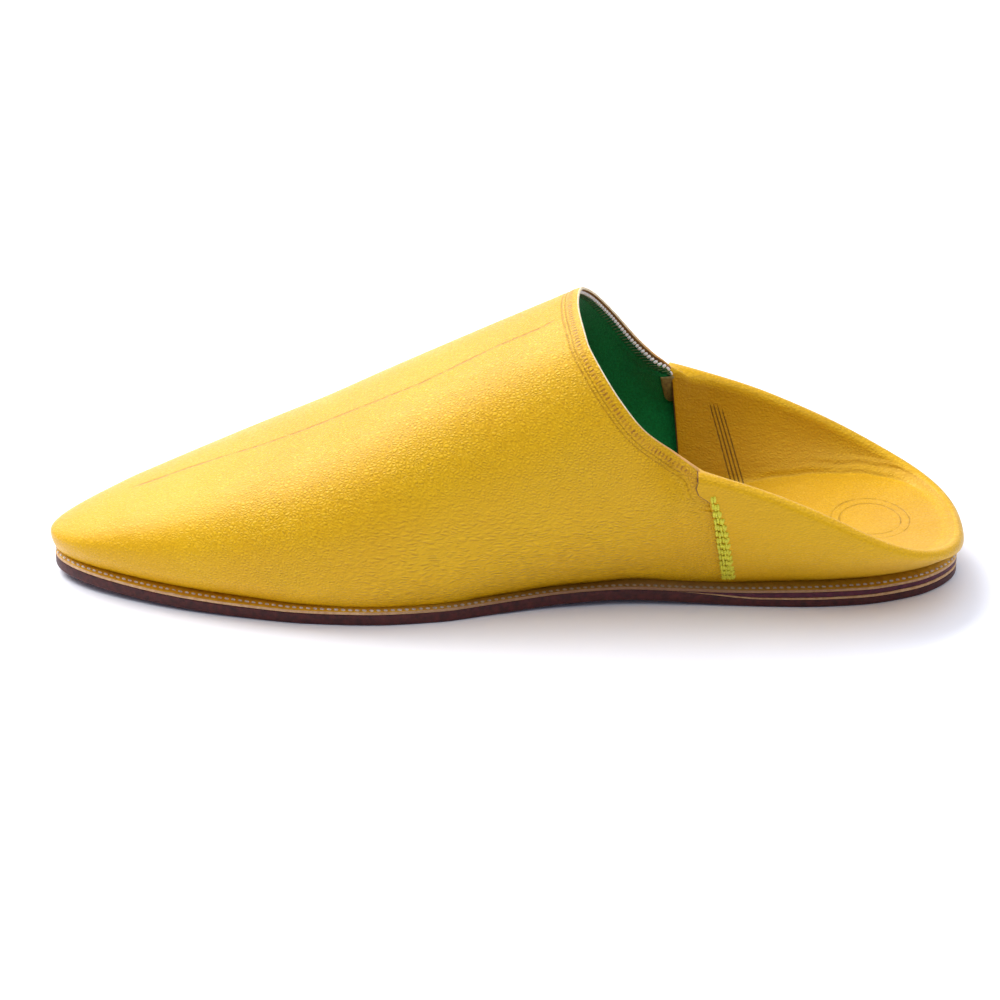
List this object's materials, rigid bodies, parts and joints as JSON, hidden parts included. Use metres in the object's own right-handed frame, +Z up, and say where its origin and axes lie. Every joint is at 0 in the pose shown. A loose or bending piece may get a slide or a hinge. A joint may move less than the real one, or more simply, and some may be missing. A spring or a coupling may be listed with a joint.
{
  "type": "babouche slipper",
  "caption": "Pointed backless leather slipper: a lined vamp with a wide throat, its quarter folded in over the heel seat, on a welted flat sole with a thin heel wedge.",
  "frame": {"origin": "on the floor under the middle of the slipper's bounding box", "axes": "+X towards the toe, +Y to the wearer's left, +Z up"},
  "size_m": [0.2912, 0.0918, 0.0912],
  "materials": {
    "outsole": "dark polished sole leather",
    "heel_wedge": "oxblood stained leather with a pale cut edge",
    "welt": "ochre welt leather with a tan cut edge",
    "insole": "smooth yellow leather",
    "upper": "fine grained yellow leather with a soft sheen"
  },
  "bodies": {
    "root": {"outsole": "outsole", "heel_wedge": "heel_wedge", "welt": "welt", "insole": "insole", "upper": "upper"}
  },
  "joints": []
}
